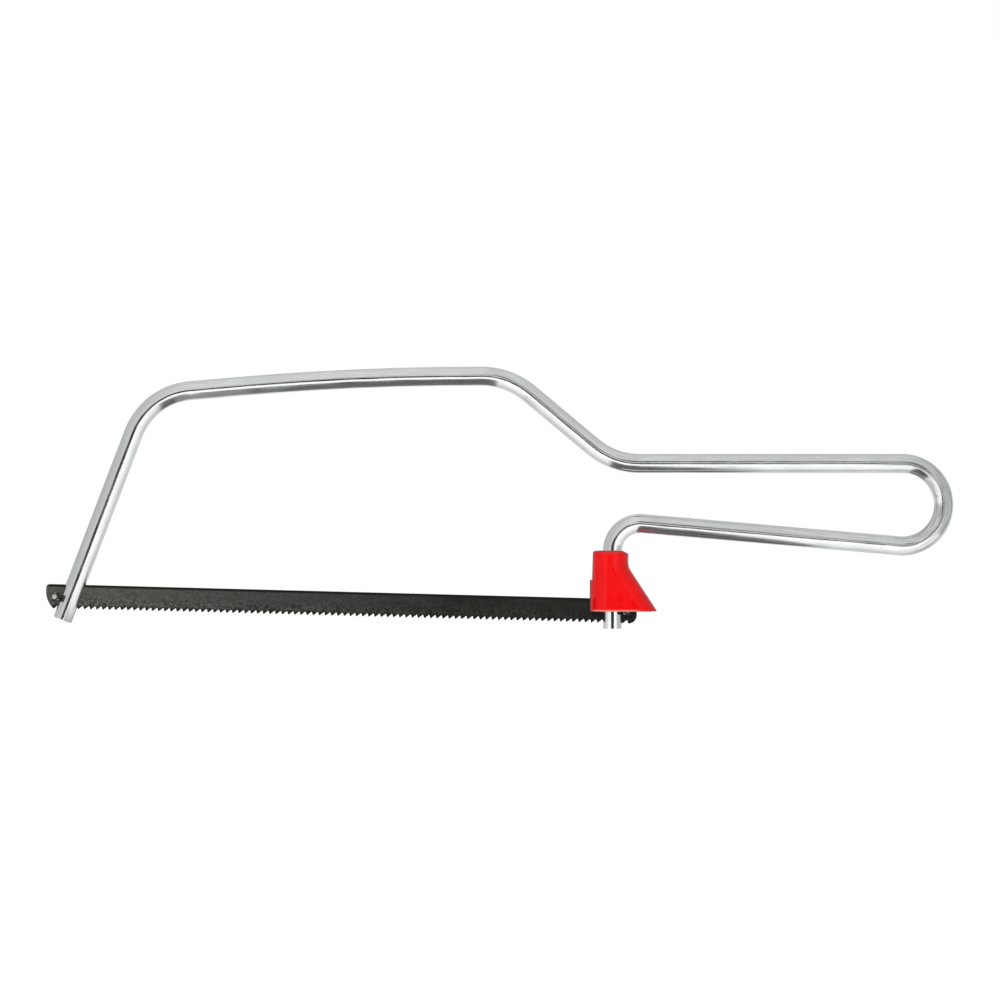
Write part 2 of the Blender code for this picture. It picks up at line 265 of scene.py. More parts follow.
leg_lean = math.atan2(-front_foot_down.x, -front_foot_down.z)
bpy.ops.object.select_all(action="DESELECT")
bpy.ops.mesh.primitive_circle_add(
    vertices=ROD_SIDES, radius=rod_radius, fill_type="NGON", location=front_foot, rotation=(0, leg_lean, 0)
)
rod = new_piece("bent_rod")
edit(rod)
reached = front_foot
for bend in bends:
    bpy.ops.mesh.extrude_region_move(TRANSFORM_OT_translate={"value": bend["start"] - reached})
    steps = max(LEAST_BEND_STEPS, math.ceil(math.degrees(bend["turn"]) / BEND_STEP_DEGREES))
    # Spin turns against the right-hand rule, so it gets the axis turned round.
    bpy.ops.mesh.spin(steps=steps, angle=bend["turn"], center=bend["centre"], axis=-bend["axis"])
    reached = bend["end"]
bpy.ops.mesh.extrude_region_move(TRANSFORM_OT_translate={"value": rear_foot - reached})
cage = bmesh.from_edit_mesh(rod.data)
rod_end = middle(next(face for face in cage.faces if face.select))
print("rod ends", round((rod_end - rear_foot).length * 1e6, 2), "microns from its foot")

# %% [markdown]
# Drawing lines and fine scratches run along a rod and follow its bends, so no pattern in plain space
# can show them. The way out is to remember where each point lay while the rod was still straight:
# its distance along, and its place across. That is stored on the mesh as an attribute called
# "unbent", which the chrome reads in place of coordinates.

# %% Remember the straight rod
ROUTE_STEP = 0.001


def sample_route():
    """Points along the rod's middle line, with the direction there, at close steps."""
    places = []
    directions = []
    reached = front_foot
    for bend in bends + [{"start": rear_foot}]:
        run = bend["start"] - reached
        count = max(1, math.ceil(run.length / ROUTE_STEP))
        for step in range(count):
            places.append(reached + run * step / count)
            directions.append(run.normalized())
        if "turn" not in bend:
            break
        spoke = bend["start"] - bend["centre"]
        count = max(LEAST_BEND_STEPS, math.ceil(spoke.length * bend["turn"] / ROUTE_STEP))
        sideways = bend["axis"].cross(spoke)
        for step in range(count):
            angle = bend["turn"] * step / count
            places.append(bend["centre"] + spoke * math.cos(angle) + sideways * math.sin(angle))
            directions.append((sideways * math.cos(angle) - spoke * math.sin(angle)).normalized())
        reached = bend["end"]
    return np.array(places), np.array(directions)


only(rod)
route, ways = sample_route()
distances = np.concatenate([[0], np.cumsum(np.linalg.norm(np.diff(route, axis=0), axis=1))])
points = np.array([vertex.co for vertex in rod.data.vertices])
nearest = np.array([np.argmin(((route - point) ** 2).sum(axis=1)) for point in points])
offsets = points - route[nearest]
along = distances[nearest] + (offsets * ways[nearest]).sum(axis=1)
across = offsets[:, 2] * ways[nearest][:, 0] - offsets[:, 0] * ways[nearest][:, 2]
unbent = np.column_stack([along, points[:, 1], across])
rod.data.attributes.new("unbent", "FLOAT_VECTOR", "POINT")
rod.data.attributes["unbent"].data.foreach_set("vector", unbent.ravel())
print("rod length:", round(float(distances[-1]) * 1000, 1), "mm")

# %% [markdown]
# The rod's ends are cut square and then slit in the plane of the frame, so that the blade can pass
# through. A file has taken the sharpness off the outer rims, which is a small bevel. The slits are
# cut with a plain box each, and a last narrow bevel breaks the edges that the cuts leave.

# %% Trim and slit the ends
RIM_BEVEL = 0.0002
SLIT_WIDTH = 0.00095
FRONT_SLIT_DEPTH = 0.0110
REAR_SLIT_DEPTH = 0.0083
CUT_EDGE_BEVEL = 0.00006
NEAR = 1e-5

edit(rod)
pick("FACE", lambda place: (place - front_foot).length < NEAR or (place - rear_foot).length < NEAR)
bpy.ops.mesh.bevel(offset=RIM_BEVEL, segments=2, affect="EDGES")
for foot, down, depth in (
    (front_foot, front_foot_down, FRONT_SLIT_DEPTH),
    (rear_foot, rear_foot_down, REAR_SLIT_DEPTH),
):
    only(rod)
    bpy.ops.object.select_all(action="DESELECT")
    bpy.ops.mesh.primitive_cube_add(
        size=1, location=foot, rotation=(0, math.atan2(-down.x, -down.z), 0)
    )
    slit_saw = new_piece("slit_saw", (4 * rod_radius, SLIT_WIDTH, 2 * depth))
    combine(rod, slit_saw, "DIFFERENCE")
break_edges(rod, CUT_EDGE_BEVEL, segments=2, sharper_than=55)
finish_piece(rod, smooth_degrees=40)

# %% [markdown]
# ## The blade
# The blade is a strip of thin steel. A real one is milled a tooth at a time, and this one is made the
# same way: one tooth is shaped on a small grid, repeated by an Array along the edge, and the strip is
# drawn out at both ends into plain tabs with rounded corners. The pins' places are known from the
# solids, so the blade is modelled flat with its front pin at zero and only then tilted into place.

# %% Shape one tooth and repeat it
BLADE_WIDTH = 0.0064
BLADE_TAIL = 0.00265
TOOTH_PITCH = 0.001625
TOOTH_DEPTH = 0.00104
TOOTH_COUNT = 93
TOOTH_COLUMNS = 12
TOOTH_ZONE = 0.0020
REAR_EDGE_CORNER = 0.00218
FRONT_CORNER_RISE = 0.0023
FRONT_EDGE_CORNER = 0.0020
BACK_CORNER = 0.0010
GULLET_PLACE = 0.80
GULLET_ROUNDING = 0.22
TIP_FLAT = 0.09

blade_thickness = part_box("saw_blade")[1].y * 2
front_pin_place = sum(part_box("front_blade_pin"), Vector()) / 2
rear_pin_place = sum(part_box("rear_blade_pin"), Vector()) / 2
pin_spacing = (rear_pin_place - front_pin_place).length
blade_dip = math.atan2(front_pin_place.z - rear_pin_place.z, rear_pin_place.x - front_pin_place.x)
half_width = BLADE_WIDTH / 2
teeth_end = pin_spacing + BLADE_TAIL - REAR_EDGE_CORNER
teeth_start = teeth_end - TOOTH_COUNT * TOOTH_PITCH


def gullet_height(share):
    """Height of the edge over one pitch: a blunt tip, a long slope up, a round top and a steep face."""
    rise = share / GULLET_PLACE
    fall = (1 - share) / (1 - GULLET_PLACE)
    lower = min(rise, fall)
    higher = max(rise, fall)
    rounding = max(0, GULLET_ROUNDING - (higher - lower)) ** 2 / (4 * GULLET_ROUNDING)
    return TOOTH_DEPTH * max(0, lower - rounding - TIP_FLAT)


bpy.ops.object.select_all(action="DESELECT")
bpy.ops.mesh.primitive_grid_add(
    x_subdivisions=TOOTH_COLUMNS,
    y_subdivisions=2,
    size=1,
    location=(teeth_start + TOOTH_PITCH / 2, 0, 0),
    rotation=QUARTER_TURN,
)
blade = new_piece("toothed_blade", (TOOTH_PITCH, BLADE_WIDTH, 1))
edit(blade)
pick("VERT", lambda place: abs(place.z) < NEAR)
bpy.ops.transform.translate(value=(0, 0, TOOTH_ZONE - half_width))
cage = bmesh.from_edit_mesh(blade.data)
for vertex in cage.verts:
    if vertex.co.z < NEAR - half_width:
        vertex.co.z += gullet_height((vertex.co.x - teeth_start) / TOOTH_PITCH)
bmesh.update_edit_mesh(blade.data)
apply_modifier(
    blade,
    "ARRAY",
    count=TOOTH_COUNT,
    use_relative_offset=False,
    use_constant_offset=True,
    constant_offset_displace=(TOOTH_PITCH, 0, 0),
    use_merge_vertices=True,
    merge_threshold=NEAR,
)
print("teeth per inch:", round(0.0254 / TOOTH_PITCH, 1))

# %% [markdown]
# Beyond the teeth the steel is plain, and there the blade was cut off with rounded corners. The edge at
# each end of the strip is extruded into a tab, and its inner edges are dissolved so that one flat face is
# left. A vertex bevel then rounds each corner. In front the lower corner is first lifted, which cuts the
# tab off at a slant.

# %% Draw out the end tabs and round their corners
def draw_tab(at, to):
    """Extrude one end of the strip, and leave a single plain face there."""
    pick("EDGE", lambda place: abs(place.x - at) < NEAR)
    bpy.ops.mesh.extrude_region_move(TRANSFORM_OT_translate={"value": (to - at, 0, 0)})
    tab_middle = (at + to) / 2
    pick("EDGE", lambda place: abs(place.x - tab_middle) < NEAR and abs(place.z) < half_width - NEAR)
    bpy.ops.mesh.dissolve_edges(use_verts=True)


def round_corner(x, z, radius):
    pick("VERT", lambda place: (place - Vector((x, 0, z))).length < NEAR)
    bpy.ops.mesh.bevel(offset=radius, segments=8, affect="VERTICES")


blade_end = pin_spacing + BLADE_TAIL
edit(blade)
draw_tab(teeth_start, -BLADE_TAIL)
draw_tab(teeth_end, blade_end)
round_corner(-BLADE_TAIL, half_width, BACK_CORNER)
round_corner(blade_end, half_width, BACK_CORNER)
pick("VERT", lambda place: (place - Vector((-BLADE_TAIL, 0, -half_width))).length < NEAR)
bpy.ops.transform.translate(value=(0, 0, FRONT_CORNER_RISE))
round_corner(-BLADE_TAIL, FRONT_CORNER_RISE - half_width, FRONT_EDGE_CORNER)
round_corner(blade_end, -half_width, REAR_EDGE_CORNER - NEAR)
print("blade outline done, length", round((pin_spacing + 2 * BLADE_TAIL) * 1000, 1), "mm")

# %% [markdown]
# A flat strip gets its thickness from Solidify. Then come the pin holes, and the set: a fine-toothed
# blade has its edge pressed into a wave, a few teeth to the left and a few to the right, so that
# the cut is wider than the steel. The wave is a sine that fades out above the teeth and at both ends.

# %% Give it thickness, holes and set
HOLE_SIDES = 48
PIN_HOLE_GAP = 0.00005
PIN_ABOVE_MIDDLE = 0.000075
SET_WIDTH = 0.00013
TEETH_PER_WAVE = 9
SET_START = 0.006
SET_FADE = 0.008
BLADE_EDGE_BEVEL = 0.00004

apply_modifier(blade, "SOLIDIFY", thickness=blade_thickness, offset=0)
pin_radius = (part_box("front_blade_pin")[1].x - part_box("front_blade_pin")[0].x) / 2
for hole_place in (0, pin_spacing):
    bpy.ops.object.select_all(action="DESELECT")
    bpy.ops.mesh.primitive_cylinder_add(
        vertices=HOLE_SIDES,
        radius=pin_radius + PIN_HOLE_GAP,
        depth=4 * blade_thickness,
        location=(hole_place, 0, PIN_ABOVE_MIDDLE),
        rotation=QUARTER_TURN,
    )
    combine(blade, new_piece("hole_punch"), "DIFFERENCE")
break_edges(blade, BLADE_EDGE_BEVEL, segments=1, sharper_than=50)
for vertex in blade.data.vertices:
    depth = max(0, TOOTH_ZONE - half_width - vertex.co.z) / TOOTH_ZONE
    from_end = min(vertex.co.x - SET_START, teeth_end - vertex.co.x)
    fade = min(1, max(0, from_end / SET_FADE))
    wave = math.sin(2 * math.pi * vertex.co.x / (TEETH_PER_WAVE * TOOTH_PITCH))
    vertex.co.y += SET_WIDTH * depth * fade * wave
blade.location = front_pin_place - Vector((0, 0, PIN_ABOVE_MIDDLE))
blade.rotation_euler = (0, blade_dip, 0)
settle(blade)
finish_piece(blade, smooth_degrees=30)

# %% [markdown]
# ## The cross pins
# Each pin is a short turned rod through the blade. It starts as a cylinder. The rims of its ends are
# rounded, and each end face gets the shallow dimple that is left where the pin was parted off. The second
# pin is the same, so it is a copy.

# %% Turn one pin and copy it
PIN_SIDES = 40
PIN_RIM = 0.00058
DIMPLE_INSET = 0.00026
DIMPLE_DEPTH = 0.00012
DIMPLE_TAPER = 0.5

pin_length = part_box("front_blade_pin")[1].y * 2
bpy.ops.object.select_all(action="DESELECT")
bpy.ops.mesh.primitive_cylinder_add(
    vertices=PIN_SIDES, radius=pin_radius, depth=pin_length, location=front_pin_place, rotation=QUARTER_TURN
)
front_pin = new_piece("front_cross_pin")
edit(front_pin)
pick("FACE", lambda place: abs(abs(place.y) - pin_length / 2) < NEAR)
bpy.ops.mesh.bevel(offset=PIN_RIM, segments=4, affect="EDGES")
pick("FACE", lambda place: abs(abs(place.y) - pin_length / 2) < NEAR)
bpy.ops.mesh.inset(thickness=DIMPLE_INSET, use_individual=True)
for side in (-1, 1):
    end_middle = front_pin_place + Vector((0, side * pin_length / 2, 0))
    pick("FACE", lambda place: (place - end_middle).length < NEAR)
    bpy.ops.mesh.extrude_region_move(TRANSFORM_OT_translate={"value": (0, -side * DIMPLE_DEPTH, 0)})
    bpy.ops.transform.resize(value=(DIMPLE_TAPER, 1, DIMPLE_TAPER), center_override=end_middle)
finish_piece(front_pin, smooth_degrees=40)

rear_pin = front_pin.copy()
rear_pin.data = front_pin.data.copy()
rear_pin.name = "rear_cross_pin"
bpy.context.scene.collection.objects.link(rear_pin)
rear_pin.location = rear_pin_place - front_pin_place
settle(rear_pin)
print(rear_pin.name, "is a copy,", round(pin_spacing * 1000, 1), "mm away")

# %% [markdown]
# ## The sleeve
# The sleeve is moulded plastic: round where it grips the rear leg, and drawn out behind the leg into
# a flare that shelters the rear pin. A disc is extruded downward in thin layers. In each layer the
# rear half of the ring moves back by the flare and the front half forward by a little draft.

# %% Draw the outer form downward
SLEEVE_SIDES = 96
SLEEVE_LAYERS = 26
SLEEVE_LEAD = 0.0005
SLEEVE_DRAFT = 0.0005
FLARE_DROP = 0.0041
FLARE_EXTRA = 0.0003
FLARE_ROUNDING = 0.0010
SLEEVE_TOP_BEVEL = 0.0005
TOP_CROWN = 0.0003
TOP_CROWN_REACH = 0.0065
TOP_SLANT_START = 0.0030
TOP_SLANT = 0.42
SLEEVE_FOOT_LIFT = 0.0002
SLEEVE_FOOT_BEVEL = 0.00022

sleeve_low, sleeve_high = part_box("locking_sleeve")
sleeve_low.z += SLEEVE_FOOT_LIFT
sleeve_radius = sleeve_high.y
sleeve_height = sleeve_high.z - sleeve_low.z
sleeve_middle = rear_foot.x - SLEEVE_LEAD
flare_slope = (sleeve_high.x + FLARE_EXTRA - sleeve_middle - sleeve_radius) / (sleeve_height - FLARE_DROP)


def flare_at(drop):
    """How far back the rear half stands, at a distance below the top, with a soft start."""
    below = drop - FLARE_DROP
    if below < -FLARE_ROUNDING:
        return 0.0
    if below > FLARE_ROUNDING:
        return flare_slope * below
    return flare_slope * (below + FLARE_ROUNDING) ** 2 / (4 * FLARE_ROUNDING)


bpy.ops.object.select_all(action="DESELECT")
bpy.ops.mesh.primitive_circle_add(
    vertices=SLEEVE_SIDES,
    radius=sleeve_radius,
    fill_type="NGON",
    location=(sleeve_middle, 0, sleeve_high.z),
    rotation=(0, 0, math.pi / SLEEVE_SIDES),
)
sleeve = new_piece("red_sleeve")
edit(sleeve)
layer = sleeve_height / SLEEVE_LAYERS
for number in range(1, SLEEVE_LAYERS + 1):
    bpy.ops.mesh.extrude_region_move(TRANSFORM_OT_translate={"value": (0, 0, -layer)})
    level = sleeve_high.z - number * layer
    back = flare_at(number * layer) - flare_at((number - 1) * layer)
    split = sleeve_middle + (flare_at((number - 1) * layer) - SLEEVE_DRAFT * number / SLEEVE_LAYERS) / 2
    pick("VERT", lambda place: abs(place.z - level) < NEAR and place.x > split)
    bpy.ops.transform.translate(value=(back, 0, 0))
    pick("VERT", lambda place: abs(place.z - level) < NEAR and place.x < split)
    bpy.ops.transform.translate(value=(-SLEEVE_DRAFT / SLEEVE_LAYERS, 0, 0))
    pick("FACE", lambda place: abs(place.z - level) < NEAR)
pick("FACE", lambda place: abs(place.z - sleeve_high.z) < NEAR)
bpy.ops.mesh.bevel(offset=SLEEVE_TOP_BEVEL, segments=5, affect="EDGES")
pick("FACE", lambda place: abs(place.z - sleeve_low.z) < NEAR)
bpy.ops.mesh.bevel(offset=SLEEVE_FOOT_BEVEL, segments=2, affect="EDGES")
cage = bmesh.from_edit_mesh(sleeve.data)
for vertex in cage.verts:
    from_middle = vertex.co.x - sleeve_middle
    if vertex.co.z > sleeve_high.z - layer + NEAR:
        vertex.co.z += TOP_CROWN * (1 - (from_middle / TOP_CROWN_REACH) ** 2)
        vertex.co.z -= TOP_SLANT * max(0, from_middle - TOP_SLANT_START)
bmesh.update_edit_mesh(sleeve.data)
only(sleeve)
print("sleeve flare:", round(math.degrees(math.atan(flare_slope)), 1), "degrees")

# %% [markdown]
# The mould adds a flat lip round the blade's way in. It could be drawn out of the sleeve's own faces, but
# they lie in thin layers. A box with rounded front edges is simpler, and a Boolean joins it to the sleeve.

# %% Add the lip
LIP_WIDTH = 0.0034
SLOT_HEIGHT = 0.0080
LIP_TOP_MARGIN = 0.00025
LIP_BEVEL = 0.0007


def block(name, low, high):
    """A box between two corners."""
    bpy.ops.object.select_all(action="DESELECT")
    bpy.ops.mesh.primitive_cube_add(size=1, location=(low + high) / 2)
    return new_piece(name, high - low)


slot_top = sleeve_low.z + SLOT_HEIGHT
lip_edge = sleeve_middle - sleeve_radius
lip = block(
    "lip",
    Vector((sleeve_low.x, -LIP_WIDTH / 2, sleeve_low.z)),
    Vector((sleeve_middle - sleeve_radius / 2, LIP_WIDTH / 2, slot_top + LIP_TOP_MARGIN)),
)
edit(lip)
pick("EDGE", lambda place: abs(place.x - sleeve_low.x) < NEAR and abs(place.y) > LIP_WIDTH / 2 - NEAR)
bpy.ops.mesh.bevel(offset=LIP_BEVEL, segments=5, affect="EDGES")
combine(sleeve, lip, "UNION")
print("lip:", LIP_WIDTH * 1000, "mm wide")

# %% [markdown]
# In the mould, cores leave the bore for the leg, a pocket for the pin and the blade's end, and the slot in
# front, all open below. Here each core is a tool that is cut away. A fine bevel then breaks every edge,
# as no moulded edge is perfectly sharp.

# %% Core out the inside
BORE_GAP = 0.0001
SLEEVE_WALL = 0.0008
SLEEVE_SLOT_GAP = 0.0003
SLEEVE_EDGE_BEVEL = 0.00012

bpy.ops.object.select_all(action="DESELECT")
bpy.ops.mesh.primitive_cylinder_add(
    vertices=ROD_SIDES,
    radius=rod_radius + BORE_GAP,
    depth=2 * sleeve_height,
    location=(rear_foot.x, 0, (sleeve_low.z + sleeve_high.z) / 2),
)
combine(sleeve, new_piece("bore_core"), "DIFFERENCE")

pocket_radius = sleeve_radius - SLEEVE_WALL
pocket_foot = sleeve_low.z - SLEEVE_WALL
bpy.ops.object.select_all(action="DESELECT")
bpy.ops.mesh.primitive_cylinder_add(
    vertices=SLEEVE_SIDES,
    radius=pocket_radius,
    depth=slot_top - pocket_foot,
    location=(rear_foot.x, 0, (slot_top + pocket_foot) / 2),
    rotation=(0, 0, math.pi / SLEEVE_SIDES),
)
pocket = new_piece("pocket_core")
edit(pocket)
pick("VERT", lambda place: place.x < rear_foot.x)
bpy.ops.transform.resize(value=(0, 1, 1), center_override=(rear_foot.x, 0, 0))
flare_wall = SLEEVE_WALL * math.hypot(1, flare_slope)
for level in (slot_top, pocket_foot):
    reach = sleeve_middle + sleeve_radius + flare_slope * (sleeve_high.z - FLARE_DROP - level) - flare_wall
    pick("VERT", lambda place: abs(place.z - level) < NEAR and place.x > rear_foot.x + NEAR)
    bpy.ops.transform.translate(value=(reach - rear_foot.x - pocket_radius, 0, 0))
combine(sleeve, pocket, "DIFFERENCE")

slot_half = blade_thickness / 2 + SLEEVE_SLOT_GAP
slot = block(
    "slot_core",
    Vector((sleeve_low.x - SLEEVE_WALL, -slot_half, pocket_foot)),
    Vector((rear_foot.x, slot_half, slot_top)),
)
combine(sleeve, slot, "DIFFERENCE")
break_edges(sleeve, SLEEVE_EDGE_BEVEL, segments=2, sharper_than=40)
finish_piece(sleeve, smooth_degrees=35)

# %% [markdown]
# ## Shared finishes
# A finish is a tree of nodes, and a node is always added in the same three moves: make it, set it, link
# its sockets. One helper does that, and a few more stand for the nodes that are used the most.

# %% Helpers for node trees
def add_node(tree, kind, inputs=None, **settings):
    """Add a node, set its properties, and give its sockets a value or a link."""
    node = tree.nodes.new(kind)
    for setting, value in settings.items():
        setattr(node, setting, value)
    for socket, value in (inputs or {}).items():
        if isinstance(value, bpy.types.NodeSocket):
            tree.links.new(value, node.inputs[socket])
        else:
            node.inputs[socket].default_value = value
    return node


def remap(tree, value, low, high, new_low, new_high):
    """Map Range with its ends clamped."""
    limits = {"From Min": low, "From Max": high, "To Min": new_low, "To Max": new_high}
    return add_node(tree, "ShaderNodeMapRange", {"Value": value, **limits}).outputs["Result"]


def calculate(tree, operation, *values):
    """A Math node on numbers or sockets."""
    return add_node(tree, "ShaderNodeMath", dict(enumerate(values)), operation=operation).outputs["Value"]


def object_place(tree):
    return add_node(tree, "ShaderNodeTexCoord").outputs["Object"]


def stretch(tree, vector, scale):
    """Coordinates scaled along each axis, so that a pattern read from them is drawn out."""
    return add_node(tree, "ShaderNodeMapping", {"Vector": vector, "Scale": scale}).outputs["Vector"]


def axes_of(tree, vector):
    """The X, Y and Z sockets of a vector."""
    return add_node(tree, "ShaderNodeSeparateXYZ", {"Vector": vector}).outputs


# %% [markdown]
# Three effects come back in several materials, so each is a node group that is built once. Grain is a
# fine speckle for roughness and bump. Smudges are large soft patches from handling. Worn edges finds
# sharp edges by comparing the surface's normal with a rounded one, and breaks the mask up with noise.

# %% Build the shared node groups
def new_group(name, output, **values):
    """A group that takes a Vector and some values, and puts out one value."""
    group = bpy.data.node_groups.new(name, "ShaderNodeTree")
    group.interface.new_socket("Vector", in_out="INPUT", socket_type="NodeSocketVector")
    for socket, value in values.items():
        made = group.interface.new_socket(socket, in_out="INPUT", socket_type="NodeSocketFloat")
        made.default_value = value
    group.interface.new_socket(output, in_out="OUTPUT", socket_type="NodeSocketFloat")
    return group, group.nodes.new("NodeGroupInput"), group.nodes.new("NodeGroupOutput")


def noise_mask(group, entry, scale, low, high, **settings):
    """Noise read from the group's Vector, and spread to 0 and 1 between two levels."""
    inputs = {"Vector": entry.outputs["Vector"], "Scale": entry.outputs[scale], **settings}
    noise = add_node(group, "ShaderNodeTexNoise", inputs)
    return remap(group, noise.outputs["Fac"], low, high, 0, 1)


grain, grain_in, grain_out = new_group("grain", "Grain", Scale=2000.0)
grains = noise_mask(grain, grain_in, "Scale", 0.3, 0.7, Detail=3.0)
grain.links.new(grains, grain_out.inputs["Grain"])

smudges, smudges_in, smudges_out = new_group("smudges", "Smudge", Scale=60.0)
clouds = noise_mask(smudges, smudges_in, "Scale", 0.42, 0.68, Detail=5.0, Roughness=0.62, Distortion=0.6)
smudges.links.new(clouds, smudges_out.inputs["Smudge"])

wear, wear_in, wear_out = new_group("worn_edges", "Wear", Radius=0.0002, Breakup=900.0)
rounded = add_node(wear, "ShaderNodeBevel", {"Radius": wear_in.outputs["Radius"]}, samples=6)
surface = add_node(wear, "ShaderNodeNewGeometry")
alike = add_node(
    wear,
    "ShaderNodeVectorMath",
    {0: rounded.outputs["Normal"], 1: surface.outputs["Normal"]},
    operation="DOT_PRODUCT",
)
edge_mask = remap(wear, alike.outputs["Value"], 0.97, 0.75, 0, 1)
patches = noise_mask(wear, wear_in, "Breakup", 0.38, 0.6, Detail=4.0)
wear.links.new(calculate(wear, "MULTIPLY", edge_mask, patches), wear_out.inputs["Wear"])
print("node groups:", ", ".join(sorted(group.name for group in (grain, smudges, wear))))

# %% [markdown]
# A material is a chain of nodes that ends in the Principled shader. The chains here keep to a few moves:
# use a shared group, blend two colours by a mask, turn a pattern into a bump. Written as helpers,
# they leave each material short enough to read as a recipe. The last helper puts the finish on a piece
# and says which body it moves with and which solid it stands for.

# %% Helpers for materials
def new_material(name):
    material = bpy.data.materials.new(name)
    material.use_nodes = True
    return material, material.node_tree, material.node_tree.nodes["Principled BSDF"]


def use_group(tree, group, **inputs):
    return add_node(tree, "ShaderNodeGroup", inputs, node_tree=group).outputs[0]


def mix_values(tree, share, first, second):
    """Blend two values by a mask."""
    return add_node(tree, "ShaderNodeMix", {0: share, 2: first, 3: second}).outputs[0]


def mix_colours(tree, share, first, second):
    """Blend two colours, or colour sockets, by a mask."""
    return add_node(tree, "ShaderNodeMix", {0: share, 6: first, 7: second}, data_type="RGBA").outputs[2]


def bump(tree, height, strength, distance, below=None):
    inputs = {"Height": height, "Strength": strength, "Distance": distance}
    if below:
        inputs["Normal"] = below
    return add_node(tree, "ShaderNodeBump", inputs).outputs["Normal"]


def dress(piece, material, body, slot, *nodes):
    """Give a piece its finish, let it ride on its body, and let it stand for its solids."""
    piece.data.materials.clear()
    piece.data.materials.append(material)
    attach(piece, body)
    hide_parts(*nodes)
    print(piece.name, "rides on", body, "with", material.name)


# %% [markdown]
# ## Chrome on a drawn rod
# Bright plating follows the steel under it. The rod was drawn through a die, so the chrome keeps faint
# lines along its length, with soft clouds from handling and a few tiny pits. The lines and pits
# are read from the unbent coordinates, stretched so that a line is far longer than it is wide. At the
# round end of the handle the lines are darker.

# %% Chrome
DARK_LINES_FROM = 0.030
DARK_LINES_FADE = 0.008

chrome, tree, shader = new_material("chrome_plate")
unbent_place = add_node(tree, "ShaderNodeAttribute", attribute_name="unbent").outputs["Vector"]
die_lines = use_group(tree, grain, Vector=stretch(tree, unbent_place, (150, 2000, 2000)), Scale=1.0)
clouds = use_group(tree, smudges, Vector=unbent_place, Scale=90.0)
pit_cells = add_node(
    tree, "ShaderNodeTexVoronoi", {"Vector": unbent_place, "Scale": 330.0, "Randomness": 1.0}
)
pits = remap(tree, pit_cells.outputs["Distance"], 0.03, 0.06, 0.6, 0)
where = object_place(tree)
# The lines are darker toward the round end of the handle.
toward_handle_end = remap(tree, axes_of(tree, where)["X"], DARK_LINES_FROM, DARK_LINES_FROM + DARK_LINES_FADE, 0, 1)
plain_lines = mix_colours(tree, die_lines, (0.72, 0.73, 0.73, 1), (0.90, 0.91, 0.91, 1))
clouded = mix_colours(tree, clouds, plain_lines, (0.76, 0.77, 0.775, 1))
dark_lines = mix_colours(tree, die_lines, (0.43, 0.44, 0.44, 1), (0.97, 0.98, 0.98, 1))
bright = mix_colours(tree, toward_handle_end, clouded, dark_lines)
pitted = mix_colours(tree, pits, bright, (0.50, 0.49, 0.47, 1))
tree.links.new(pitted, shader.inputs["Base Color"])
shader.inputs["Metallic"].default_value = 1.0
lined = remap(tree, die_lines, 0, 1, 0.08, 0.15)
cloudy = remap(tree, clouds, 0, 1, 0, 0.07)
tree.links.new(calculate(tree, "ADD", lined, cloudy), shader.inputs["Roughness"])
tree.links.new(bump(tree, die_lines, 0.15, 0.00003), shader.inputs["Normal"])
dress(rod, chrome, "frame", "frame_chrome", "frame_rod")

# %% [markdown]
# ## Black on the blade
# The blade is heat-treated steel under a thin satin black. Toward the front it is paler, which is a
# painted sheen. Faint rolling scratches run along it. Near the teeth the surface is coarser, where the
# edge was milled and set. The back edge and the tips are the darkest, and on the sharpest edges a trace of
# bare steel shows. All of this is placed by height and length on the blade, so its coordinates are the
# object's, moved to the front pin and turned by the tilt.

# %% Blade black
GRAINY_BELOW = 0.0
GRAINY_FULL = -0.0014
BACK_LINE = 0.00235
BACK_FADE = 0.0003
TIP_LINE = -0.0020
TIP_FADE = 0.0006
SHEEN_FULL_TO = 0.015
SHEEN_GONE_FROM = 0.110

blackened, tree, shader = new_material("satin_black")
where = object_place(tree)
own = add_node(
    tree,
    "ShaderNodeMapping",
    {"Vector": where, "Location": front_pin_place, "Rotation": (0, blade_dip, 0)},
    vector_type="TEXTURE",
).outputs["Vector"]
on_blade = axes_of(tree, own)
near_teeth = remap(tree, on_blade["Z"], GRAINY_BELOW, GRAINY_FULL, 0, 1)
near_back = remap(tree, on_blade["Z"], BACK_LINE, BACK_LINE + BACK_FADE, 0, 1)
near_tips = remap(tree, on_blade["Z"], TIP_LINE, TIP_LINE - TIP_FADE, 0, 0.9)
dark_edge = calculate(tree, "MAXIMUM", near_back, near_tips)
# Painted sheen: the blade is paler toward the front and darker toward the rear.
sheen_fades_to_rear = remap(tree, on_blade["X"], SHEEN_FULL_TO, SHEEN_GONE_FROM, 0, 1)
scratches = use_group(tree, grain, Vector=stretch(tree, own, (60, 3000, 3000)), Scale=1.0)
speckle = use_group(tree, grain, Vector=own, Scale=1800.0)
coarse = calculate(tree, "MULTIPLY", near_teeth, speckle)
bare = use_group(tree, wear, Vector=own, Radius=0.00012, Breakup=1500.0)
drift = use_group(tree, smudges, Vector=own, Scale=45.0)
